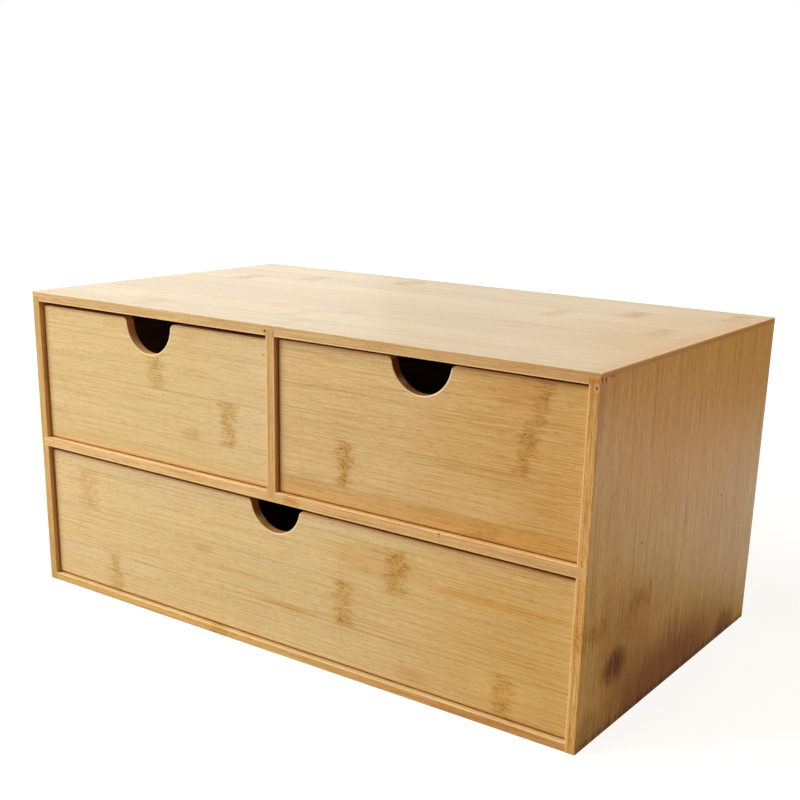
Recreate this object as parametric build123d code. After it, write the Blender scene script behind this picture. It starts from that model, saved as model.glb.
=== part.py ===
"""Bamboo drawer unit: a tabletop carcass with two half-width drawers over one full-width drawer.

Frame: origin at the middle of the footprint, on the surface that the unit stands on.
+X is to the right, +Y is to the back (the drawers pull out along -Y) and +Z is up.
All sizes are in millimetres.
"""

import os
from math import sqrt

from build123d import *

# Overall size of the carcass
WIDTH = 330.0
DEPTH = 190.0
HEIGHT = 160.0

# Carcass stock: the boards that show, the thinner bottom and the sheet at the back
BOARD = 5.0
BOTTOM_BOARD = 4.0
BACK_BOARD = 3.0

# Carcass joints
TOP_LIP = 2.5  # what is left of the top over the ends of the sides
HOUSING = 3.0  # depth of the housings for the shelf and the divider
BACK_RABBET = 2.5  # width of the step that the back sheet is let into
EASE = 0.3  # radius that sandpaper leaves on the open edges

# Drawer fit in its compartment
FRONT_RECESS = 2.5  # drawer front behind the carcass's front edges
SIDE_GAP = 0.8
LEFT_TOP_GAP = 2.1  # each drawer below the board over it
RIGHT_TOP_GAP = 1.2
LOWER_TOP_GAP = 2.0
UPPER_FLOOR_GAP = 0.5  # lower edge of each drawer front above the board it runs on
LOWER_FLOOR_GAP = 0.8
BACK_GAP = 0.5  # drawer back to back sheet when shut

# Drawer stock and joints
DRAWER_FRONT = 5.0
DRAWER_SIDE = 5.0
DRAWER_BACK = 5.0
DRAWER_BOTTOM = 3.0
FRONT_LIP = 2.5  # what is left of the drawer front over the ends of its sides
BOTTOM_RISE = 4.0  # drawer bottom above the lower edges of the sides
GROOVE_DEPTH = 2.0
GROOVE_PLAY = 0.2  # room past the edges of the drawer bottom, at the root of its groove

# Finger notches: one cutter, plunged to a different depth in each drawer front
NOTCH_RADIUS = 15.2
NOTCH_LIP_RADIUS = 2.7
LEFT_NOTCH_DEPTH = 16.6
RIGHT_NOTCH_DEPTH = 14.8
LOWER_NOTCH_DEPTH = 14.1

# Headless brads of flat wire, driven into the boards
BRAD_WIDTH = 1.2  # upright
BRAD_THICKNESS = 0.9
BRAD_LENGTH = 15.0
BRAD_SINK = 0.4  # head below the face of the wood
BRAD_FROM_EDGE = 50.0  # carcass brads from the front and back edges
DRAWER_BRAD_FROM_EDGE = 20.0  # drawer brads from the top and bottom of the drawer back

# Planes that several pieces share
outer_x = WIDTH / 2
inner_x = outer_x - BOARD
front_y = -DEPTH / 2
back_y = DEPTH / 2
back_sheet_y = back_y - BACK_BOARD
top_under_z = HEIGHT - BOARD
side_top_z = HEIGHT - TOP_LIP
compartment_height = (top_under_z - BOTTOM_BOARD - BOARD) / 2
shelf_under_z = BOTTOM_BOARD + compartment_height
shelf_top_z = shelf_under_z + BOARD
divider_x = BOARD / 2
back_sheet_x = inner_x + BACK_RABBET
back_sheet_top_z = top_under_z + BACK_RABBET
back_sheet_under_z = BOTTOM_BOARD - BACK_RABBET

# Faces of a board, as the axis that they stand on and the end of it
LEFT, RIGHT = (Axis.X, 0), (Axis.X, -1)
FRONT, BACK = (Axis.Y, 0), (Axis.Y, -1)
UNDER, TOP = (Axis.Z, 0), (Axis.Z, -1)


def block(x, y, z):
    """A plain box between the two ends of each range."""
    middle = [(low + high) / 2 for low, high in (x, y, z)]
    return Pos(*middle) * Box(x[1] - x[0], y[1] - y[0], z[1] - z[0])


def board(x, y, z, *eased):
    """A box whose listed edges, each named by the two faces that meet there, are sanded round."""
    solid = block(x, y, z)
    edges = []
    for (axis_a, end_a), (axis_b, end_b) in eased:
        edges += solid.edges().group_by(axis_a)[end_a].group_by(axis_b)[end_b]
    return fillet(edges, EASE) if edges else solid


def mirrored(x, side):
    """The range x on the right of the middle, or its mirror image when side is -1."""
    return x if side > 0 else (-x[1], -x[0])


def pins(x, places, sink):
    """Brad-shaped pins square to both ends of the range x, from sink below each end, at (y, z) places."""
    depth = BRAD_SINK + BRAD_LENGTH
    ends = ((x[0] + sink, x[0] + depth), (x[1] - depth, x[1] - sink))
    half_y, half_z = BRAD_THICKNESS / 2, BRAD_WIDTH / 2
    return [block(end, (y - half_y, y + half_y), (z - half_z, z + half_z)) for end in ends for y, z in places]


def brads(x, places):
    """Brads driven in from both end faces, as one group of separate pieces."""
    return Compound(pins(x, places, BRAD_SINK))


def brad_holes(x, places):
    """The holes that those brads make, open at the face."""
    return pins(x, places, 0)


# Carcass

outer = (-outer_x, outer_x)
brad_ys = (front_y + BRAD_FROM_EDGE, back_y - BRAD_FROM_EDGE)
shelf_brad_places = [(y, (shelf_under_z + shelf_top_z) / 2) for y in brad_ys]
bottom_brad_places = [(y, BOTTOM_BOARD / 2) for y in brad_ys]


def top_panel():
    solid = board(
        outer,
        (front_y, back_y),
        (top_under_z, HEIGHT),
        (TOP, FRONT),
        (TOP, BACK),
        (TOP, LEFT),
        (TOP, RIGHT),
        (UNDER, FRONT),
        (FRONT, LEFT),
        (FRONT, RIGHT),
        (BACK, LEFT),
        (BACK, RIGHT),
    )
    for side in (1, -1):
        solid -= block(mirrored((inner_x, outer_x), side), (front_y, back_y), (top_under_z, side_top_z))
    solid -= block((-divider_x, divider_x), (front_y, back_sheet_y), (top_under_z, top_under_z + HOUSING))
    solid -= block((-inner_x, inner_x), (back_sheet_y, back_y), (top_under_z, back_sheet_top_z))
    return solid


def side_panel(side):
    outside, inside = (RIGHT, LEFT) if side > 0 else (LEFT, RIGHT)
    solid = board(
        mirrored((inner_x, outer_x), side),
        (front_y, back_y),
        (0, side_top_z),
        (outside, FRONT),
        (outside, BACK),
        (outside, UNDER),
        (inside, FRONT),
    )
    shelf_housing = mirrored((inner_x, inner_x + HOUSING), side)
    solid -= block(shelf_housing, (front_y, back_sheet_y), (shelf_under_z, shelf_top_z))
    back_step = mirrored((inner_x, back_sheet_x), side)
    solid -= block(back_step, (back_sheet_y, back_y), (back_sheet_under_z, side_top_z))
    return solid - brad_holes(outer, shelf_brad_places + bottom_brad_places)


def bottom_panel():
    solid = board(
        (-inner_x, inner_x),
        (front_y, back_y),
        (0, BOTTOM_BOARD),
        (TOP, FRONT),
        (UNDER, FRONT),
    )
    solid -= block((-inner_x, inner_x), (back_sheet_y, back_y), (back_sheet_under_z, BOTTOM_BOARD))
    return solid - brad_holes(outer, bottom_brad_places)


def middle_shelf():
    end_x = inner_x + HOUSING
    solid = board(
        (-end_x, end_x),
        (front_y, back_sheet_y),
        (shelf_under_z, shelf_top_z),
        (TOP, FRONT),
        (UNDER, FRONT),
    )
    solid -= block((-divider_x, divider_x), (front_y, back_sheet_y), (shelf_top_z - HOUSING, shelf_top_z))
    return solid - brad_holes(outer, shelf_brad_places)


def centre_divider():
    return board(
        (-divider_x, divider_x),
        (front_y, back_sheet_y),
        (shelf_top_z - HOUSING, top_under_z + HOUSING),
        (LEFT, FRONT),
        (RIGHT, FRONT),
    )


def back_panel():
    return block(
        (-back_sheet_x, back_sheet_x),
        (back_sheet_y, back_y),
        (back_sheet_under_z, back_sheet_top_z),
    )


# Drawers


def notched_face(width, height, depth):
    """Face of a drawer front, hung from the middle of its top edge, with a finger notch in that edge.

    The notch has a round foot and two quarter-round lips. Where it is deeper than both radii,
    upright walls join them.
    """
    reach = NOTCH_RADIUS + NOTCH_LIP_RADIUS
    foot_middle_y = NOTCH_RADIUS - depth
    rise = max(foot_middle_y + NOTCH_LIP_RADIUS, 0)
    lip_middle_x = sqrt(reach**2 - rise**2)
    lip_end_x = lip_middle_x * NOTCH_RADIUS / reach
    lip_end_y = NOTCH_LIP_RADIUS * (rise / reach - 1)
    foot_end_y = min(lip_end_y, foot_middle_y)
    edges = [ThreePointArc((-lip_end_x, foot_end_y), (0, -depth), (lip_end_x, foot_end_y))]
    edges.append(Line((-width / 2, -height), (width / 2, -height)))
    for side in (-1, 1):
        lip_end = (side * lip_end_x, lip_end_y)
        edges.append(TangentArc((side * lip_middle_x, 0), lip_end, tangent=(-side, 0)))
        edges.append(Line((side * lip_middle_x, 0), (side * width / 2, 0)))
        edges.append(Line((side * width / 2, 0), (side * width / 2, -height)))
        if foot_end_y < lip_end_y:
            edges.append(Line(lip_end, (side * lip_end_x, foot_end_y)))
    return make_face(edges)


class Drawer:
    """The planes of one drawer, worked out from the compartment that it fills."""

    def __init__(self, compartment_x, floor_z, floor_gap, top_gap, notch_depth):
        self.x = (compartment_x[0] + SIDE_GAP, compartment_x[1] - SIDE_GAP)
        self.inside_x = (self.x[0] + DRAWER_SIDE, self.x[1] - DRAWER_SIDE)
        self.middle_x = (self.x[0] + self.x[1]) / 2
        self.floor_z = floor_z
        self.front_under_z = floor_z + floor_gap
        self.top_z = floor_z + compartment_height - top_gap
        self.front_y = front_y + FRONT_RECESS
        self.side_front_y = self.front_y + FRONT_LIP
        self.inside_front_y = self.front_y + DRAWER_FRONT
        self.back_y = back_sheet_y - BACK_GAP
        self.inside_back_y = self.back_y - DRAWER_BACK
        self.bottom_z = (floor_z + BOTTOM_RISE, floor_z + BOTTOM_RISE + DRAWER_BOTTOM)
        self.notch_depth = notch_depth
        brad_zs = (floor_z + DRAWER_BRAD_FROM_EDGE, self.top_z - DRAWER_BRAD_FROM_EDGE)
        self.brad_places = [((self.inside_back_y + self.back_y) / 2, z) for z in brad_zs]

    def front(self):
        """The front board: finger notch in its top edge, steps for the sides and a groove for the bottom."""
        outline = Plane(origin=(self.middle_x, self.front_y, self.top_z), x_dir=(1, 0, 0), z_dir=(0, -1, 0))
        height = self.top_z - self.front_under_z
        face = notched_face(self.x[1] - self.x[0], height, self.notch_depth)
        solid = extrude(outline * face, -DRAWER_FRONT)
        solid = fillet(solid.edges().group_by(Axis.Y)[0], EASE)
        solid = chamfer(solid.edges().group_by(Axis.Y)[-1].filter_by(GeomType.CIRCLE), EASE)
        tall = (self.front_under_z, self.top_z)
        for x in ((self.x[0], self.inside_x[0]), (self.inside_x[1], self.x[1])):
            solid -= block(x, (self.side_front_y, self.inside_front_y), tall)
        groove_y = (self.inside_front_y - GROOVE_DEPTH, self.inside_front_y)
        return solid - block(self.inside_x, groove_y, self.bottom_z)

    def side(self, side):
        """One side board, grooved on its inner face for the bottom."""
        if side > 0:
            x, outside, inside = (self.inside_x[1], self.x[1]), RIGHT, LEFT
            groove_x = (x[0], x[0] + GROOVE_DEPTH)
        else:
            x, outside, inside = (self.x[0], self.inside_x[0]), LEFT, RIGHT
            groove_x = (x[1] - GROOVE_DEPTH, x[1])
        length = (self.side_front_y, self.back_y)
        tall = (self.floor_z, self.top_z)
        solid = board(x, length, tall, (outside, TOP), (inside, TOP), (outside, BACK))
        groove_y = (self.side_front_y, self.inside_back_y + GROOVE_DEPTH)
        return solid - block(groove_x, groove_y, self.bottom_z) - brad_holes(self.x, self.brad_places)

    def back(self):
        """The back board, between the sides, grooved for the bottom."""
        length = (self.inside_back_y, self.back_y)
        solid = board(self.inside_x, length, (self.floor_z, self.top_z), (FRONT, TOP), (BACK, TOP))
        groove_y = (self.inside_back_y, self.inside_back_y + GROOVE_DEPTH)
        solid -= block(self.inside_x, groove_y, self.bottom_z)
        return solid - brad_holes(self.x, self.brad_places)

    def bottom(self):
        """The bottom sheet, let into all four boards."""
        reach = GROOVE_DEPTH - GROOVE_PLAY
        x = (self.inside_x[0] - reach, self.inside_x[1] + reach)
        return block(x, (self.inside_front_y - reach, self.inside_back_y + reach), self.bottom_z)

    def pieces(self, name):
        """Every piece of the drawer, by node name."""
        return {
            f"{name}_front": self.front(),
            f"{name}_left_side": self.side(-1),
            f"{name}_right_side": self.side(1),
            f"{name}_back": self.back(),
            f"{name}_bottom": self.bottom(),
            f"{name}_brads": brads(self.x, self.brad_places),
        }


left_x, right_x, lower_x = (-inner_x, -divider_x), (divider_x, inner_x), (-inner_x, inner_x)
drawers = {
    "left_drawer": Drawer(left_x, shelf_top_z, UPPER_FLOOR_GAP, LEFT_TOP_GAP, LEFT_NOTCH_DEPTH),
    "right_drawer": Drawer(right_x, shelf_top_z, UPPER_FLOOR_GAP, RIGHT_TOP_GAP, RIGHT_NOTCH_DEPTH),
    "lower_drawer": Drawer(lower_x, BOTTOM_BOARD, LOWER_FLOOR_GAP, LOWER_TOP_GAP, LOWER_NOTCH_DEPTH),
}

nodes = {
    "top_panel": top_panel(),
    "left_side_panel": side_panel(-1),
    "right_side_panel": side_panel(1),
    "bottom_panel": bottom_panel(),
    "middle_shelf": middle_shelf(),
    "centre_divider": centre_divider(),
    "back_panel": back_panel(),
    "shelf_brads": brads(outer, shelf_brad_places),
    "bottom_brads": brads(outer, bottom_brad_places),
}
for drawer_name, drawer in drawers.items():
    nodes.update(drawer.pieces(drawer_name))

os.makedirs("parts", exist_ok=True)
for node, shape in nodes.items():
    export_step(shape, f"parts/{node}.step")
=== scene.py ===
"""Looks of a bamboo desktop drawer unit: two small drawers side by side over one wide drawer.

Every board is laminated from 22 mm bamboo strips, sanded and given a thin satin lacquer.
The boards keep the shape that the frame gives them. This script adds their bamboo, the steel of
their brads, a white floor, soft studio light and the camera.
"""
from math import radians

import bpy
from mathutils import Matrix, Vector


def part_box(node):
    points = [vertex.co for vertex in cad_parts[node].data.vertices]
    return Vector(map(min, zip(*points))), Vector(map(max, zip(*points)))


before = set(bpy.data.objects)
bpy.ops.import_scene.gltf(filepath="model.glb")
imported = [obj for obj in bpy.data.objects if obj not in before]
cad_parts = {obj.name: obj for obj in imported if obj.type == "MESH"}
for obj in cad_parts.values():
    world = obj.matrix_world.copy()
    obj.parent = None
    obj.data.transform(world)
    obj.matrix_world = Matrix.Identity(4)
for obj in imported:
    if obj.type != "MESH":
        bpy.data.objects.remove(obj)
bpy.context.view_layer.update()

X, Y, Z = 0, 1, 2
LOW, HIGH = 0, 1
MM_PER_M = 1000

# Sockets that go by number, first of a Map Range node and then of a Mix node for colours
VALUE, START, END, AT_START, AT_END = range(5)
COVER, UNDER, OVER = 0, 6, 7
LAID_OVER = {"out": 2, "data_type": "RGBA"}
MULTIPLIED = {**LAID_OVER, "blend_type": "MULTIPLY"}
SOFT = {"interpolation_type": "SMOOTHSTEP"}

# Small helpers


def linear(hex_colour):
    """An sRGB hex colour as the linear colour that a shader takes."""
    shares = [int(hex_colour[i:i + 2], 16) / 255 for i in (1, 3, 5)]
    return (*(s / 12.92 if s <= 0.04045 else ((s + 0.055) / 1.055) ** 2.4 for s in shares), 1.0)


def add(tree, kind, links=None, out=0, stops=(), **settings):
    """Adds a node with its settings, ramp stops and links, and gives back one of its outputs."""
    node = tree.nodes.new("ShaderNode" + kind)
    for setting, value in settings.items():
        setattr(node, setting, value)
    for i, (position, colour) in enumerate(stops):
        ramp = node.color_ramp.elements
        stop = ramp[i] if i < len(ramp) else ramp.new(position)
        stop.position, stop.color = position, colour
    for socket, source in (links or {}).items():
        if isinstance(source, bpy.types.NodeSocket):
            tree.links.new(source, node.inputs[socket])
        else:
            node.inputs[socket].default_value = source
    return node.outputs[out] if node.outputs else None


def blank_material(name):
    """A new material without nodes, with its tree."""
    material = bpy.data.materials.new(name)
    material.use_nodes = True
    material.node_tree.nodes.clear()
    return material, material.node_tree


# Bamboo: all lengths and places are in mm

STRIP = 22.0            # width of a strip in a board
REACH = 1000.0          # knuckle places are kept in a ramp as shares of this length
WIDEST_KNUCKLE = 20.0   # and their half lengths as shares of this one
NO_KNUCKLE = (0, -400, 0, 1, 0)     # stands in on strips with fewer than two: off the board, no strength
SWAY_REACH = (22.0, 2.0)            # from a knuckle's middle, where fibres start to sway and sway fully
SWAY = 0.06                         # how far they sway to the side, as a share of the knuckle's waver
RAGGED = 0.8                        # how far patches, stains and painted shade alike, follow that waver along the fibres, as a share of it
PATTERN_STEP = 57.0                 # from one board's fibre pattern to the next one's
NOTCH_RADIUS = 15.2                 # of the finger notches
TURNED, SQUARE = 0.70, 0.85         # a face starts to count as facing an axis, and fully counts

# Marks along the grain: length, width, detail and roughness of the noise that draws each kind
BENDS = {
    "bow": (130, 24, 1.0, 0.5),         # strips bow a little along their length
    "waver": (14, 1.6, 2.0, 0.7),       # knuckles and patches, stains and painted shade alike, end at another place on each fibre
}
BOW, WAVER = 0.8, 8.0                   # reach of these two to either side
FIBRE_MARKS = {
    "drift": (170, 5.0, 2.0, 0.6),      # slow change of tone along a strip
    "line": (25, 0.5, 2.0, 0.6),        # single fibres
    "vein": (80, 1.4, 2.0, 0.6),        # bundles of fibres
    "fleck": (5, 0.5, 2.0, 0.6),        # short ends of fibres, opened by the sanding
    "blotch": (5, 4.0, 2.0, 0.6),       # uneven brown of a knuckle
    "speck": (1.3, 0.8, 1.0, 0.5),      # dark specks in a knuckle
}

# Strips
STRAW, HONEY, TAN, AMBER = "#DFC994", "#DAC189", "#D6B980", "#D4B478"
LIGHT_HONEY = "#E1C892"
# greyer copies of the strips, for the top alone: partly its own paler tone, partly the white sheen of its
# lacquer painted in
PALE_STRAW, PALE_HONEY, DULL_HONEY = "#DBCAA6", "#D6C29A", "#D0BD96"
GAP_SHADE_AMBER = "#C68840"      # painted warm shade on the strip of shelf or bottom under the drawer fronts, seen in the gap below them
PLAIN_STRIPS = (STRAW, HONEY, TAN, HONEY, AMBER, STRAW, HONEY)

# Tints that multiply the colour under them
KNUCKLE_TINT = "#E8D49C"
SPECK_TINT = "#C8A24C"
FIBRE_TINT = "#E4CDA0"
PAINTED_SHADE_LINE = "#F2D4AE"      # painted warm shade along the top and bottom edges of a drawer front, under the lip above it and over the ledge below it

# Colours that lie over the one under them
PALE_FIBRE = "#EEDDAC"
GLUE_BROWN = "#A8753A"
# edges rubbed pale by wear, and a painted highlight where light catches them
WORN_EDGE_AND_HIGHLIGHT = "#FFD89C"
# painted highlight on the rim of a finger notch, where light catches it
PAINTED_RIM_HIGHLIGHT = "#F4DFB6"
RECESS_SHADE_AMBER = "#F0AC62"     # painted warm shade on inner faces close to the front, in the recess behind the drawer fronts
BLUSH_AND_SHADE = "#CF9A44"             # brownish stains in the strips; once also painted shade along the foot of the left drawer front
KNOT_BROWN = "#5A2E06"

# Colours of long edges at the low and high end with their strength, and of cuts at the low and high end.
# Where a board's two edge colours differ, the edge carries painted shade, deeper toward the end that lies
# in shade
SAWN_EDGE = ("#D0A054", "#D0A054", 0.55)
# long edges of a drawer front, deeper red-brown: painted warm shade for the gaps round the drawer, where
# they are seen
GAP_SHADE_EDGE = ("#C9924C", "#C9924C", 0.7)
END_GRAIN = ("#C29650", "#C29650")

# Fibres in the colour: kind of mark, noise where it starts and is full, strength, colour and how it is laid
STREAKS = (
    ("line", 0.50, 0.66, 0.60, FIBRE_TINT, MULTIPLIED),
    ("line", 0.48, 0.32, 0.30, PALE_FIBRE, LAID_OVER),
    ("vein", 0.50, 0.68, 0.55, FIBRE_TINT, MULTIPLIED),
    ("fleck", 0.50, 0.66, 0.65, FIBRE_TINT, MULTIPLIED),
)


class BambooBoard:
    """Laminated bamboo, sanded and satin lacquered: the material of one board, built up step by step.

    Straw coloured strips lie side by side. Each has long fine fibres, and about every 200 mm a
    knuckle: a brownish band across the strip with dark specks, where the cane had a joint. Cuts
    across the fibres are browner and show pores. The lacquer gives all of it a soft, broad shine.
    """

    def __init__(self, node, grain, stack, seed):
        """The strips run along the axis grain and are laid side by side on the axis stack."""
        self.material, tree = blank_material("bamboo_" + node)
        self.tree, self.grain, self.stack = tree, grain, stack

        # Where a point is on the board
        self.box = [corner * MM_PER_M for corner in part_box(node)]
        place = add(tree, "TexCoord", out="Object")
        self.mm = add(tree, "VectorMath", {0: place, "Scale": MM_PER_M}, operation="SCALE")
        self.axes = add(tree, "SeparateXYZ", {0: self.mm}).node.outputs
        self.along, self.across = self.axes[grain], self.axes[stack]
        self.through = self.axes[3 - grain - stack]
        half_way = (self.box[HIGH][grain] + self.box[LOW][grain]) / 2
        far_end = {VALUE: self.along, START: half_way, END: self.box[HIGH][grain]}
        self.far_end = add(tree, "MapRange", far_end)
        middle = (self.box[HIGH][stack] + self.box[LOW][stack]) / 2
        self.half_width = (self.box[HIGH][stack] - self.box[LOW][stack]) / 2
        off_middle = add(tree, "Math", {0: self.across, 1: -middle}, operation="ADD")
        self.off_middle = add(tree, "Math", {0: off_middle}, operation="ABSOLUTE")

        # Which way its face is turned: to the side of the strips, or to the end of the fibres
        self.normal = add(tree, "TexCoord", out="Normal")
        facing = add(tree, "VectorMath", {0: self.normal}, operation="ABSOLUTE")
        facing = add(tree, "SeparateXYZ", {0: facing}).node.outputs
        self.sawn = add(tree, "MapRange", {VALUE: facing[stack], START: TURNED, END: SQUARE})
        self.end = add(tree, "MapRange", {VALUE: facing[grain], START: TURNED, END: SQUARE})

        # How the fibres bend there
        self.shifted = add(tree, "Math", {0: self.along, 1: PATTERN_STEP * seed}, operation="ADD")
        straight = add(tree, "CombineXYZ", {0: self.shifted, 1: self.across, 2: self.through})
        bends = self.draw_marks(straight, BENDS)
        self.bow = add(tree, "Math", {0: bends["bow"], 1: 2 * BOW, 2: -BOW}, operation="MULTIPLY_ADD")
        waver = {0: bends["waver"], 1: 2 * WAVER, 2: -WAVER}
        self.waver = add(tree, "Math", waver, operation="MULTIPLY_ADD")

    def draw_marks(self, at, kinds):
        """Noise for each kind of mark, drawn out along the grain."""
        marks = {}
        for kind, (length, width, detail, roughness) in kinds.items():
            scale = (1 / length, 1 / width, 1 / width)
            scaled = add(self.tree, "VectorMath", {0: at, 1: scale}, operation="MULTIPLY")
            noise = {"Vector": scaled, "Scale": 1.0, "Detail": detail, "Roughness": roughness}
            marks[kind] = add(self.tree, "TexNoise", noise)
        return marks

    def lay_strips(self, first_seam, strips, knuckles):
        """Gives the strips, which lie side by side from first_seam on, their colours and knuckles.

        knuckles are (strip, place along it, strength, half length, lean), at most two to a strip.
        One ramp across the board holds the strips' colours, the others their knuckles' places and forms.
        """
        tree, count = self.tree, len(strips)
        self.first_seam = first_seam
        last_seam = first_seam + STRIP * count
        share = add(tree, "MapRange", {VALUE: self.across, START: first_seam, END: last_seam})
        pairs = [([k for k in knuckles if k[0] == i] + [NO_KNUCKLE] * 2)[:2] for i in range(count)]
        places = [(a[1] / REACH + 0.5, b[1] / REACH + 0.5, a[2], b[2]) for a, b in pairs]
        forms = [(a[4] + 0.5, b[4] + 0.5, a[3] / WIDEST_KNUCKLE, b[3] / WIDEST_KNUCKLE) for a, b in pairs]
        ramps = []
        for values in ([linear(strip) for strip in strips], places, forms):
            stops = [(i / count, value) for i, value in enumerate(values)]
            ramps.append(add(tree, "ValToRGB", {0: share}, stops=stops))
            ramps[-1].node.color_ramp.interpolation = "CONSTANT"
        self.colour, place_ramp, form_ramp = ramps

        # A knuckle is a band across its strip, with edges that waver from fibre to fibre.
        wavering = add(tree, "Math", {0: self.along, 1: self.waver}, operation="ADD")
        up_strip = add(tree, "Math", {0: self.across, 1: -first_seam}, operation="ADD")
        up_strip = add(tree, "Math", {0: up_strip, 1: STRIP}, operation="FLOORED_MODULO")
        up_strip = add(tree, "Math", {0: up_strip, 1: -STRIP / 2}, operation="ADD")
        spots = add(tree, "SeparateColor", {0: place_ramp}).node.outputs
        shapes = add(tree, "SeparateColor", {0: form_ramp}).node.outputs
        bands, sways = [], []
        for spot, strength, lean, half in (
                (spots[0], spots[2], shapes[0], shapes[2]),
                (spots[1], place_ramp.node.outputs["Alpha"], shapes[1], form_ramp.node.outputs["Alpha"])):
            centre = add(tree, "Math", {0: spot, 1: REACH, 2: -REACH / 2}, operation="MULTIPLY_ADD")
            lean = add(tree, "Math", {0: lean, 1: -0.5}, operation="ADD")
            centre = add(tree, "Math", {0: up_strip, 1: lean, 2: centre}, operation="MULTIPLY_ADD")
            off = add(tree, "Math", {0: wavering, 1: centre}, operation="SUBTRACT")
            off = add(tree, "Math", {0: off}, operation="ABSOLUTE")
            half = add(tree, "Math", {0: half, 1: WIDEST_KNUCKLE}, operation="MULTIPLY")
            inside = add(tree, "Math", {0: off, 1: half}, operation="DIVIDE")
            band = add(tree, "MapRange", {VALUE: inside, START: 1.6, END: 0.4}, **SOFT)
            sway = add(tree, "MapRange", {VALUE: off, START: SWAY_REACH[0], END: SWAY_REACH[1]}, **SOFT)
            bands.append(add(tree, "Math", {0: band, 1: strength}, operation="MULTIPLY"))
            sways.append(add(tree, "Math", {0: sway, 1: strength}, operation="MULTIPLY"))
        self.knuckle = add(tree, "Math", {0: bands[0], 1: bands[1]}, operation="MAXIMUM")
        swirl = add(tree, "Math", {0: sways[0], 1: sways[1]}, operation="MAXIMUM")

        # Fibres run along the grain, bow with their strip and sway round its knuckles.
        swirl = add(tree, "Math", {0: self.waver, 1: swirl}, operation="MULTIPLY")
        bent = add(tree, "Math", {0: swirl, 1: SWAY, 2: self.across}, operation="MULTIPLY_ADD")
        self.bent = add(tree, "Math", {0: bent, 1: self.bow}, operation="ADD")
        fibre_at = add(tree, "CombineXYZ", {0: self.shifted, 1: self.bent, 2: self.through})
        self.marks = self.draw_marks(fibre_at, FIBRE_MARKS)

    def tone_strips(self, contrast):
        """Each strip drifts a few per cent lighter and darker along its length."""
        tree = self.tree
        darker, lighter = 1 - 0.05 * contrast, 1 + 0.04 * contrast
        tone = {VALUE: self.marks["drift"], START: 0.3, END: 0.7, AT_START: darker, AT_END: lighter}
        tone = add(tree, "MapRange", tone)
        self.colour = add(tree, "VectorMath", {0: self.colour, "Scale": tone}, operation="SCALE")

    def stain_and_shade(self, patches):
        """Patches of other tones: (along, across, half length, half width, strength, colour)."""
        tree = self.tree
        ragged = add(tree, "Math", {0: self.waver, 1: RAGGED, 2: self.along}, operation="MULTIPLY_ADD")
        patch_at = add(tree, "CombineXYZ", {0: ragged, 1: self.bent, 2: 0.0})
        for along, across, half_length, half_width, strength, tint in patches:
            middle, reach = (along, across, 0), (1 / half_length, 1 / half_width, 0)
            off = add(tree, "VectorMath", {0: patch_at, 1: middle}, operation="SUBTRACT")
            off = add(tree, "VectorMath", {0: off, 1: reach}, operation="MULTIPLY")
            off = add(tree, "VectorMath", {0: off}, out="Value", operation="LENGTH")
            cover = add(tree, "MapRange", {VALUE: off, START: 1.0, END: 0.3, AT_END: strength}, **SOFT)
            mix = {COVER: cover, UNDER: self.colour, OVER: linear(tint)}
            self.colour = add(tree, "Mix", mix, **LAID_OVER)

    def saw_edges(self, low_end, high_end, strength):
        """Long edges show the sides of the outer strips. Other sawn faces are cut into the board."""
        tree = self.tree
        start, full = self.half_width - 1.5, self.half_width - 0.7
        outer = add(tree, "MapRange", {VALUE: self.off_middle, START: start, END: full})
        long_edge = add(tree, "Math", {0: self.sawn, 1: outer}, operation="MULTIPLY")
        self.cut_in = add(tree, "Math", {0: self.sawn, 1: long_edge}, operation="SUBTRACT")
        long_edge = add(tree, "Math", {0: long_edge, 1: strength}, operation="MULTIPLY")
        # painted shade: where the two end colours differ, the long edge grows darker and redder toward the
        # end that lies in shade
        ends = {COVER: self.far_end, UNDER: linear(low_end), OVER: linear(high_end)}
        edge_colour = add(tree, "Mix", ends, **LAID_OVER)
        mix = {COVER: long_edge, UNDER: self.colour, OVER: edge_colour}
        self.colour = add(tree, "Mix", mix, **LAID_OVER)

    def paint_recess_shade(self, axis, direction):
        """Painted warm shade on the inner face that looks this way along an axis, close to the front, in
        the recess behind the drawer fronts.
        """
        tree, front = self.tree, self.box[LOW][self.stack]
        inner = add(tree, "SeparateXYZ", {0: self.normal}).node.outputs[axis]
        inner = add(tree, "MapRange", {VALUE: inner, START: TURNED * direction, END: SQUARE * direction})
        near_front = {VALUE: self.across, START: front + 14, END: front + 4, AT_END: 0.75}
        near_front = add(tree, "MapRange", near_front)
        inner = add(tree, "Math", {0: inner, 1: near_front}, operation="MULTIPLY")
        mix = {COVER: inner, UNDER: self.colour, OVER: linear(RECESS_SHADE_AMBER)}
        self.colour = add(tree, "Mix", mix, **LAID_OVER)

    def streak(self, contrast):
        """Darker and paler fibres, veins and flecks along the strips."""
        tree = self.tree
        for kind, start, full, strength, tint, laid in STREAKS:
            level = {VALUE: self.marks[kind], START: start, END: full, AT_END: strength * contrast}
            mix = {COVER: add(tree, "MapRange", level), UNDER: self.colour, OVER: linear(tint)}
            self.colour = add(tree, "Mix", mix, **laid)

    def glue(self):
        """A faint brown line between strips. The real one is 0.1 mm wide, and this one wider, to show."""
        tree = self.tree
        from_seam = add(tree, "Math", {0: self.bent, 1: -self.first_seam}, operation="ADD")
        from_seam = add(tree, "Math", {0: from_seam, 1: STRIP / 2}, operation="PINGPONG")
        seam = add(tree, "MapRange", {VALUE: from_seam, START: 0.55, END: 0.1, AT_END: 0.25})
        mix = {COVER: seam, UNDER: self.colour, OVER: linear(GLUE_BROWN)}
        self.colour = add(tree, "Mix", mix, **LAID_OVER)

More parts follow.
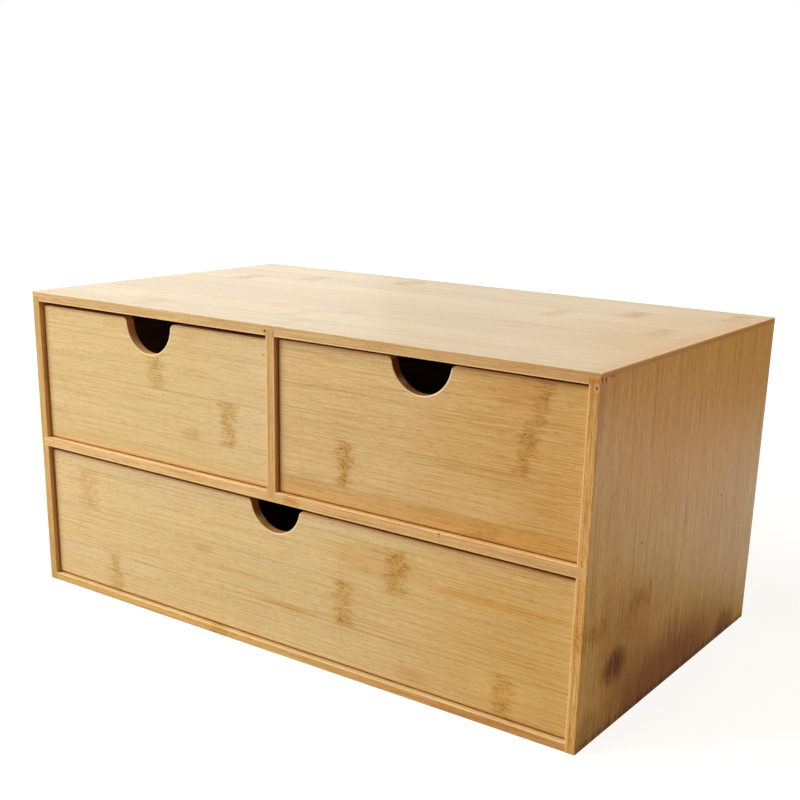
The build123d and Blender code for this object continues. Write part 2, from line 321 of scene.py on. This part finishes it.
    def brown_knuckles(self):
        """Knuckles are blotched brown bands with dark specks."""
        tree = self.tree
        blotch = {VALUE: self.marks["blotch"], START: 0.35, END: 0.6, AT_START: 0.35, AT_END: 1.0}
        blotch = add(tree, "MapRange", blotch)
        knuckle = add(tree, "Math", {0: self.knuckle, 1: blotch}, operation="MULTIPLY")
        speck = add(tree, "MapRange", {VALUE: self.marks["speck"], START: 0.54, END: 0.68}, **SOFT)
        self.speck = add(tree, "Math", {0: speck, 1: knuckle}, operation="MULTIPLY")
        for cover, tint in ((knuckle, KNUCKLE_TINT), (self.speck, SPECK_TINT)):
            mix = {COVER: cover, UNDER: self.colour, OVER: linear(tint)}
            self.colour = add(tree, "Mix", mix, **MULTIPLIED)

    def cut_ends(self, low_end, high_end):
        """Cuts across the fibres are browner, with pores about 0.9 mm apart."""
        tree = self.tree
        end = add(tree, "Math", {0: self.end, 1: self.cut_in}, operation="MAXIMUM")
        pore = add(tree, "TexVoronoi", {"Vector": self.mm, "Scale": 1 / 0.9})
        pore = {VALUE: pore, START: 0.15, END: 0.55, AT_START: 0.86, AT_END: 1.04}
        pore = add(tree, "MapRange", pore)
        ends = {COVER: self.far_end, UNDER: linear(low_end), OVER: linear(high_end)}
        cut_colour = add(tree, "Mix", ends, **LAID_OVER)
        pores = add(tree, "VectorMath", {0: cut_colour, "Scale": pore}, operation="SCALE")
        self.colour = add(tree, "Mix", {COVER: end, UNDER: self.colour, OVER: pores}, **LAID_OVER)

    def wear_and_highlight_edges(self, edges):
        """Edges made pale where two faces (axis, LOW or HIGH) meet, up to a place along the edge: partly
        rubbed pale by wear, partly a painted highlight where light catches the arris.
        """
        tree = self.tree
        for (axis, side), (other, other_side), last in edges:
            off = add(tree, "Math", {0: self.axes[axis], 1: -self.box[side][axis]}, operation="ADD")
            other_off = {0: self.axes[other], 1: -self.box[other_side][other]}
            other_off = add(tree, "Math", other_off, operation="ADD")
            off = add(tree, "CombineXYZ", {0: off, 1: other_off})
            off = add(tree, "VectorMath", {0: off}, out="Value", operation="LENGTH")
            edge_reach = add(tree, "Math", {0: self.axes[3 - axis - other], 1: last}, operation="LESS_THAN")
            cover = add(tree, "MapRange", {VALUE: off, START: 0.9, END: 0.4, AT_END: 0.55})
            cover = add(tree, "Math", {0: cover, 1: edge_reach}, operation="MULTIPLY")
            mix = {COVER: cover, UNDER: self.colour, OVER: linear(WORN_EDGE_AND_HIGHLIGHT)}
            self.colour = add(tree, "Mix", mix, **LAID_OVER)

    def paint_front_shade_and_rim_highlight(self, notch_along, notch_across):
        """Painted warm shade along the long edges, and a finger notch with a painted highlight on its rim.
        """
        tree, face = self.tree, self.box[LOW][Y]
        start, full = self.half_width - 1.2, self.half_width - 0.5
        line = add(tree, "MapRange", {VALUE: self.off_middle, START: start, END: full})
        line = add(tree, "Math", {0: line, 1: self.sawn}, operation="SUBTRACT", use_clamp=True)
        mix = {COVER: line, UNDER: self.colour, OVER: linear(PAINTED_SHADE_LINE)}
        self.colour = add(tree, "Mix", mix, **MULTIPLIED)

        middle = (notch_along + 0.5, notch_across - 0.15, 0)    # set a little off, so that the painted highlight lies more on the side where light catches the rim
        rim = add(tree, "CombineXYZ", {0: self.along, 1: self.across})
        rim = add(tree, "VectorMath", {0: rim, 1: middle}, out="Value", operation="DISTANCE")
        rim = {VALUE: rim, START: NOTCH_RADIUS + 0.5, END: NOTCH_RADIUS - 0.1, AT_END: 0.85}
        rim = add(tree, "MapRange", rim)
        front = add(tree, "MapRange", {VALUE: self.through, START: face + 0.7, END: face + 0.2})
        rim = add(tree, "Math", {0: rim, 1: front}, operation="MULTIPLY")
        mix = {COVER: rim, UNDER: self.colour, OVER: linear(PAINTED_RIM_HIGHLIGHT)}
        self.colour = add(tree, "Mix", mix, **LAID_OVER)

    def knot(self, knots):
        """Small dark knots, longer along the grain: (point, radius, strength of the pale ring round it)."""
        tree, self.pit = self.tree, None
        stretch = [0.65 if axis == self.grain else 1.0 for axis in (X, Y, Z)]
        for centre, radius, ring in knots:
            off = add(tree, "VectorMath", {0: self.mm, 1: centre}, operation="SUBTRACT")
            off = add(tree, "VectorMath", {0: off, 1: stretch}, operation="MULTIPLY")
            off = add(tree, "VectorMath", {0: off}, out="Value", operation="LENGTH")
            for start, full, strength, tint in ((2.8, 1.2, ring, PALE_FIBRE), (1.3, 0.4, 0.92, KNOT_BROWN)):
                cover = {VALUE: off, START: start * radius, END: full * radius, AT_END: strength}
                cover = add(tree, "MapRange", cover, **SOFT)
                mix = {COVER: cover, UNDER: self.colour, OVER: linear(tint)}
                self.colour = add(tree, "Mix", mix, **LAID_OVER)
            self.pit = add(tree, "Math", {0: self.pit or 0.0, 1: cover}, operation="MAXIMUM")

    def lacquer(self):
        """Fibres stand a few hundredths of a mm proud, specks are small pits and knots do not shine."""
        tree, line = self.tree, self.marks["line"]
        relief = add(tree, "Math", {0: line, 1: self.marks["fleck"]}, operation="ADD")
        relief = add(tree, "Math", {0: self.speck, 1: -0.9, 2: relief}, operation="MULTIPLY_ADD")
        bump = add(tree, "Bump", {"Height": relief, "Strength": 0.35, "Distance": 0.12 / MM_PER_M})
        rough = {VALUE: line, START: 0.3, END: 0.7, AT_START: 0.40, AT_END: 0.52}
        rough = add(tree, "MapRange", rough)
        coat = 0.3
        if self.pit:
            rough = add(tree, "Math", {0: rough, 1: self.pit}, operation="MAXIMUM")
            coat = add(tree, "MapRange", {VALUE: self.pit, AT_START: coat, AT_END: 0.0})
        shader = add(tree, "BsdfPrincipled", {
            "Base Color": self.colour, "Roughness": rough, "IOR": 1.5, "Normal": bump,
            "Coat Weight": coat, "Coat Roughness": 0.25, "Coat IOR": 1.5})
        add(tree, "OutputMaterial", {"Surface": shader})


def laminated_bamboo(node, seed, grain, stack, first_seam, strips, knuckles=(), patches=(), edge=SAWN_EDGE,
                     recess_shade=None, cut=END_GRAIN, worn_and_lit_edges=(), notch=None, knots=(), contrast=1.0):
    """The bamboo of one board, from its strips to the marks on them and the lacquer over all."""
    board = BambooBoard(node, grain, stack, seed)
    board.lay_strips(first_seam, strips, knuckles)
    board.tone_strips(contrast)
    board.stain_and_shade(patches)
    board.saw_edges(*edge)
    if recess_shade:
        board.paint_recess_shade(*recess_shade)
    board.streak(contrast)
    board.glue()
    board.brown_knuckles()
    board.cut_ends(*cut)
    board.wear_and_highlight_edges(worn_and_lit_edges)
    if notch:
        board.paint_front_shade_and_rim_highlight(*notch)
    board.knot(knots)
    board.lacquer()
    return board.material


# The boards in view, with strips, knuckles, stains and painted shade placed one by one

CORNER_SPECKS = [((165, y, z), radius, 0.0) for y, z, radius in (
    (-94.2, 157.7, 0.6), (-93.4, 156.4, 0.4), (-90.8, 157.2, 0.8), (-86.8, 157.5, 0.38),
    (-85.9, 157.5, 0.42), (-85.0, 157.6, 0.45), (-84.1, 157.6, 0.4))]
WHOLE_EDGE = 200        # further along than any edge reaches
UNDER_TOP = 155         # height at which the uprights' edges meet the top
boards = {
    "top_panel": dict(
        grain=X, stack=Y, first_seam=-112, contrast=0.8,
        strips=[DULL_HONEY, DULL_HONEY, PALE_HONEY, DULL_HONEY, DULL_HONEY,
                PALE_HONEY, PALE_STRAW, PALE_HONEY, PALE_STRAW, PALE_HONEY],
        knuckles=[(6, -128, 0.9, 6, 0), (7, -95, 0.7, 6, 0), (8, -43, 0.8, 6, 0), (7, 109, 1.0, 6, 0),
                  (6, 77, 0.8, 5, 0), (5, 142, 0.9, 4, 0), (8, 153, 1.0, 5, 0), (3, 1, 0.5, 5, 0),
                  (1, -93, 0.5, 6, 0), (2, -15, 0.4, 5, 0), (1, 1, 0.4, 4, 0)],
        patches=[(88, -13, 30, 9, 0.3, BLUSH_AND_SHADE), (-128, 26, 9, 8, 0.35, BLUSH_AND_SHADE), (153, 82, 8, 7, 0.3, BLUSH_AND_SHADE),
                 (175, 20, 90, 140, 0.55, "#CBA236"), (168, 0, 16, 300, 0.5, "#C4923C"),
                 (-134, -70, 30, 16, 0.85, PALE_STRAW), (140, 90, 70, 18, 0.22, "#CBA236")],
        edge=("#CB9F54", "#C28A36", 0.65), cut=("#C29A58", "#BC8820"), recess_shade=(Z, -1),
        knots=[((-2.6, -95, 157), 0.8, 0.0)] + CORNER_SPECKS,
        worn_and_lit_edges=[((Y, LOW), (Z, LOW), WHOLE_EDGE), ((X, HIGH), (Z, HIGH), WHOLE_EDGE)]),
    "left_drawer_front": dict(
        grain=X, stack=Z, first_seam=76, contrast=0.75,
        strips=[HONEY, HONEY, HONEY, HONEY],
        knuckles=[(2, -77, 0.7, 5, 0), (1, -29, 0.9, 4.5, 0)],
        patches=[(-53, 101, 9, 4, 0.5, BLUSH_AND_SHADE), (-53, 148, 9, 4, 0.3, BLUSH_AND_SHADE),
                 # the last patch, along the foot of the front, is painted shade and a painted reflection of
                 # the amber ledge below
                 (-5, 115, 50, 60, 0.5, "#DCC498"), (-80, 82, 200, 12, 0.25, BLUSH_AND_SHADE)],
        # the cut faces, the notch's walls among them, carry painted light: lighter here, where light falls
        # into the notch
        edge=GAP_SHADE_EDGE, cut=("#E2AC6E", "#E2AC6E"), notch=(-81.25, 151.5),
        knots=[((-5.9, -92.5, 145.5), 0.4, 0.0)]),
    "right_drawer_front": dict(
        grain=X, stack=Z, first_seam=69, contrast=0.88,
        strips=["#CFA660", TAN, TAN, TAN],
        knuckles=[(1, 41.5, 1.0, 4, 0), (3, 140, 1.0, 3.6, 0.28), (2, 133.6, 1.0, 3.4, 0.26),
                  (0, 116, 0.5, 7, 0)],
        # the first patch, darker and more amber toward the right end, is partly the strips' own tone and
        # partly painted shade where the light falls off
        patches=[(175, 118, 130, 200, 0.6, "#CB942E"), (115, 86, 50, 6, 0.4, BLUSH_AND_SHADE),
                 (108, 100, 38, 13, 0.4, "#DDBE84"), (44, 136, 26, 16, 0.2, BLUSH_AND_SHADE),
                 (131, 147, 18, 9, 0.35, "#B8802C")],
        # the cut faces, the notch's walls among them, carry painted shade: dark here, where the notch lies
        # in shade
        edge=GAP_SHADE_EDGE, cut=("#96603A", "#96603A"), notch=(81.25, 154.2)),
    "lower_drawer_front": dict(
        grain=X, stack=Z, first_seam=2.5, contrast=0.8,
        strips=[LIGHT_HONEY, LIGHT_HONEY, LIGHT_HONEY, STRAW],
        knuckles=[(2, -132, 0.5, 6, 0), (0, -113, 0.8, 4, 0), (1, 41.5, 0.9, 4.5, 0), (2, 71, 0.9, 6, 0),
                  (0, 128, 0.7, 5, 0)],
        patches=[(-48, 42.5, 10, 3, 0.6, BLUSH_AND_SHADE), (120, 55.5, 50, 3, 0.6, BLUSH_AND_SHADE),
                 (5, 25.5, 30, 2, 0.6, BLUSH_AND_SHADE), (80, 10, 14, 6, 0.4, BLUSH_AND_SHADE),
                 # the first patch on the next line, darker and more amber toward the right end, is partly
                 # the strips' own tone and partly painted shade where the light falls off
                 (185, 40, 150, 200, 0.48, "#D39A16"), (58, 60, 38, 10, 0.45, BLUSH_AND_SHADE),
                 (-113, 21, 60, 9, 0.5, "#E9D6A8"), (128, 18, 26, 12, 0.5, "#EBC77C"),
                 (44, 36, 18, 26, 0.2, BLUSH_AND_SHADE), (115, 71, 28, 6, 0.35, "#DDBE84")],
        # the cut faces, the notch's walls among them, carry painted shade, less deep than in the right
        # drawer's notch
        edge=GAP_SHADE_EDGE, cut=("#B88244", "#B88244"), notch=(0, 76.1)),
    "right_side_panel": dict(
        grain=Z, stack=Y, first_seam=-96, contrast=1.4,
        strips=[HONEY, HONEY, HONEY, HONEY, STRAW, HONEY, HONEY, TAN, HONEY],
        knuckles=[(0, 51, 0.9, 5, 0), (2, 53, 0.9, 4.5, 0), (6, 69, 0.3, 5, 0)],
        # High up, the two amber patches are painted: less of the floor's white shows in the lacquer there.
        # Low down, the red-brown patches and the dark line along the foot are painted shade and a painted
        # reflection of the shaded floor; the darkest of them is partly a knuckle's own brown.
        patches=[(160, 15, 115, 170, 0.85, "#D6A516"), (160, -85, 24, 60, 0.6, "#CC9818"),
                 (34, -56, 40, 38, 0.45, "#A0602C"), (0, -5, 38, 92, 0.85, "#84423A"),
                 (29, -63, 11, 16, 0.95, "#69280C"), (6, -86, 14, 16, 0.4, "#7A3C1C"),
                 (4, 66, 12, 20, 0.7, "#7C3E34"), (0, 0, 5, 300, 0.6, "#4A2C18"),
                 (27, -4, 13, 16, 0.2, "#84423A"), (50, -74, 26, 15, 0.25, "#D09A58"),
                 (143, -94, 24, 7, 0.3, "#A86C1C")],
        edge=("#EAB660", "#B87C24", 0.77),
        knots=[((163.4, -95, 154), 0.6, 0.25)] + CORNER_SPECKS,
        worn_and_lit_edges=[((Y, LOW), (X, LOW), UNDER_TOP)]),
}

# The other boards, with plain strips: the axes of their grain and stack, and what sets some of them apart

PLAIN_BOARDS = {
    "left_side_panel": (Z, Y), "bottom_panel": (X, Y), "middle_shelf": (X, Y),
    "centre_divider": (Z, Y), "back_panel": (X, Z),
}
for drawer in ("left_drawer", "right_drawer", "lower_drawer"):
    PLAIN_BOARDS[drawer + "_left_side"] = (Y, Z)
    PLAIN_BOARDS[drawer + "_right_side"] = (Y, Z)
    PLAIN_BOARDS[drawer + "_back"] = (X, Z)
    PLAIN_BOARDS[drawer + "_bottom"] = (X, Y)
OWN_LOOKS = {
    "left_side_panel": dict(edge=("#CCA254", "#C49A52", 0.8), recess_shade=(X, 1)),
    "bottom_panel": dict(edge=("#E0B05C", "#D0862A", 0.7)),
    "middle_shelf": dict(
        edge=("#E2C081", "#D2A164", 0.6), recess_shade=(Z, -1),
        knots=[((94.4, -95, 81.3), 0.45, 0.0), ((94.4, -95, 80.2), 0.35, 0.0)],
        worn_and_lit_edges=[((Y, LOW), (Z, LOW), WHOLE_EDGE)]),
    "centre_divider": dict(
        edge=("#C69950", "#C69950", 0.75), recess_shade=(X, 1),
        worn_and_lit_edges=[((Y, LOW), (X, LOW), UNDER_TOP), ((Y, LOW), (X, HIGH), UNDER_TOP)]),
}
LEDGES = {"middle_shelf": "#E0BA7E", "bottom_panel": HONEY}     # in front of the drawers
drawer_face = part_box("lower_drawer_front")[LOW][Y] * MM_PER_M


def plain_board(node, seed, grain, stack):
    """A board whose seams, strip colours and knuckles are spread by rule, with its own looks."""
    low, high = (corner[stack] * MM_PER_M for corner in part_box(node))
    first_seam = low - (7 * seed) % STRIP
    count = int((high - first_seam) // STRIP) + 1
    colours = (HONEY,) if node == "centre_divider" else PLAIN_STRIPS
    strips = [colours[(3 * i + seed) % len(colours)] for i in range(count)]
    knuckles = [(i, (i * 83 + seed * 47) % 260 - 130, 0.75, 4.5, 0.0) for i in range(count)]
    if node in LEDGES:
        first_seam = drawer_face - STRIP
        # the second strip, under the drawer fronts, carries painted warm shade for the gap below them
        strips = [LEDGES[node], GAP_SHADE_AMBER] + strips
    return dict(grain=grain, stack=stack, first_seam=first_seam, strips=strips, knuckles=knuckles,
                **OWN_LOOKS.get(node, {}))


for seed, (node, (grain, stack)) in enumerate(PLAIN_BOARDS.items(), start=1):
    boards[node] = plain_board(node, seed, grain, stack)
for seed, (node, build) in enumerate(boards.items(), start=1):
    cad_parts[node].material_slots[0].material = laminated_bamboo(node, seed, **build)

# Brads

SKIN_GRAIN = 0.4        # mm; the real one is finer, and it is drawn coarser so that it shows


def drawn_steel_brad():
    """Drawn steel wire, cut off square, with a dull grey skin: small, dark and only half bright."""
    material, tree = blank_material("drawn_steel_brad")
    place = add(tree, "TexCoord", out="Object")
    skin = add(tree, "TexNoise", {"Vector": place, "Scale": MM_PER_M / SKIN_GRAIN, "Detail": 2.0})
    rough = {VALUE: skin, START: 0.3, END: 0.7, AT_START: 0.35, AT_END: 0.55}
    rough = add(tree, "MapRange", rough)
    grey = {COVER: skin, UNDER: linear("#6E6A64"), OVER: linear("#A29D95")}
    grey = add(tree, "Mix", grey, **LAID_OVER)
    bump = add(tree, "Bump", {"Height": skin, "Strength": 0.2, "Distance": 0.05 / MM_PER_M})
    shader = {"Base Color": grey, "Metallic": 1.0, "Roughness": rough, "Normal": bump}
    shader = add(tree, "BsdfPrincipled", shader)
    add(tree, "OutputMaterial", {"Surface": shader})
    return material


steel = drawn_steel_brad()
for node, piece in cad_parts.items():
    if node.endswith("_brads"):
        piece.material_slots[0].material = steel

# Floor, light and camera, in metres

FLOOR_SIZE = 8.0
WHITE = linear("#FFFFFF")
PAPER_BOUNCE = linear("#98866E")    # light that the paper throws back up on the unit
PAPER_SHADE = linear("#8C8A88")     # what lamps and shadows add to its white

# How bright the floor shows in the lacquer, by distance from the middle and, behind it, by distance back
GLEAM_AROUND = ((0.20, 0.0), (0.36, 0.7), (0.55, 0.35), (0.95, 0.25))
GLEAM_BEHIND = ((0.10, 0.0), (0.15, 0.5), (0.38, 0.75), (0.54, 0.48), (0.64, 0.2), (0.85, 0.0))


def white_floor():
    """Matt white paper. It looks white to the eye and keeps the soft shadow under the unit."""
    material, tree = blank_material("white_paper")
    seen = add(tree, "LightPath").node.outputs
    place = add(tree, "TexCoord", out="Object")
    away = add(tree, "VectorMath", {0: place}, out="Value", operation="LENGTH")
    back = add(tree, "SeparateXYZ", {0: place}).node.outputs[Y]
    glow = {VALUE: away, START: 0.25, END: 1.0, AT_START: 0.86, AT_END: 1.0}
    glow = add(tree, "MapRange", glow, **SOFT)
    gleams = []
    for distance, levels in ((away, GLEAM_AROUND), (back, GLEAM_BEHIND)):
        stops = [(at, (strength, strength, strength, 1)) for at, strength in levels]
        gleams.append(add(tree, "ValToRGB", {0: distance}, stops=stops))
    behind = add(tree, "MapRange", {VALUE: back, START: -0.05, END: 0.05})
    gleam = add(tree, "Mix", {COVER: behind, UNDER: gleams[0], OVER: gleams[1]}, **LAID_OVER)
    mirrored = {0: seen["Is Glossy Ray"], 1: seen["Is Transmission Ray"]}
    mirrored = add(tree, "Math", mirrored, operation="MAXIMUM")
    bounce = add(tree, "BsdfDiffuse", {"Color": PAPER_BOUNCE})
    shade = add(tree, "BsdfDiffuse", {"Color": PAPER_SHADE})
    white = add(tree, "Emission", {"Color": WHITE, "Strength": glow})
    white = add(tree, "AddShader", {0: shade, 1: white})
    reflected = add(tree, "Emission", {"Color": WHITE, "Strength": gleam})
    reflected = add(tree, "AddShader", {0: shade, 1: reflected})
    surface = add(tree, "MixShader", {0: mirrored, 1: bounce, 2: reflected})
    surface = add(tree, "MixShader", {0: seen["Is Camera Ray"], 1: surface, 2: white})
    add(tree, "OutputMaterial", {"Surface": surface})
    return material


bpy.ops.mesh.primitive_plane_add(size=FLOOR_SIZE)
floor = bpy.context.object
floor.name = "white_floor"
floor.data.materials.append(white_floor())

MIDDLE = (0, 0, 0.08)       # of the unit


def lamp(name, at, size, power, colour):
    """A square soft box that hangs at a point and faces the middle of the unit."""
    data = bpy.data.lights.new(name, "AREA")
    data.size, data.energy, data.color = size, power, linear(colour)[:3]
    holder = bpy.data.objects.new(name, data)
    bpy.context.scene.collection.objects.link(holder)
    holder.location = at
    holder.rotation_mode = "QUATERNION"
    holder.rotation_quaternion = (Vector(MIDDLE) - Vector(at)).to_track_quat("-Z", "Y")


lamp("soft_key", (-0.95, -0.95, 0.85), 0.9, 23.0, "#FFFFFF")
lamp("soft_top", (-0.4, -0.7, 1.4), 0.9, 9.5, "#FFFFFF")
lamp("window", (-1.5, 1.2, 0.45), 1.0, 1.8, "#FFFFFF")
lamp("warm_fill", (1.1, 0.3, 0.6), 0.8, 4.9, "#FFE1B0")


def pale_room():
    """A room that looks white and lights the unit softly with a warm tone."""
    world = bpy.data.worlds.new("pale_room")
    world.use_nodes = True
    tree = world.node_tree
    tree.nodes.clear()
    seen = add(tree, "LightPath").node.outputs
    looks = {0: seen["Is Camera Ray"], 1: seen["Is Glossy Ray"]}
    looks = add(tree, "Math", looks, operation="MAXIMUM")
    looks = add(tree, "Math", {0: looks, 1: seen["Is Transmission Ray"]}, operation="MAXIMUM")
    light = add(tree, "Background", {"Color": linear("#FFDCB0"), "Strength": 0.16})
    white = add(tree, "Background", {"Color": WHITE, "Strength": 1.0})
    room = add(tree, "MixShader", {0: looks, 1: light, 2: white})
    add(tree, "OutputWorld", {"Surface": room})
    return world


bpy.context.scene.world = pale_room()

FRAME_PIXELS = 800
FOCAL_PIXELS = 1210
OPTICAL_CENTRE = (402.7, 501.5)     # pixel that the lens axis meets, from the top left
SENSOR_WIDTH = 36.0                 # mm
CAMERA_AT = (0.3622, -0.5019, 0.2464)
CAMERA_TURN = (72.778, -1.243, 35.565)      # degrees about X, Y and Z
camera_data = bpy.data.cameras.new("camera")
camera_data.sensor_width = SENSOR_WIDTH
camera_data.lens = SENSOR_WIDTH * FOCAL_PIXELS / FRAME_PIXELS
camera_data.shift_x = 0.5 - OPTICAL_CENTRE[0] / FRAME_PIXELS
camera_data.shift_y = OPTICAL_CENTRE[1] / FRAME_PIXELS - 0.5
camera = bpy.data.objects.new("camera", camera_data)
camera.location = CAMERA_AT
camera.rotation_euler = [radians(angle) for angle in CAMERA_TURN]
bpy.context.scene.collection.objects.link(camera)
bpy.context.scene.camera = camera
bpy.context.scene.view_settings.view_transform = "Standard"
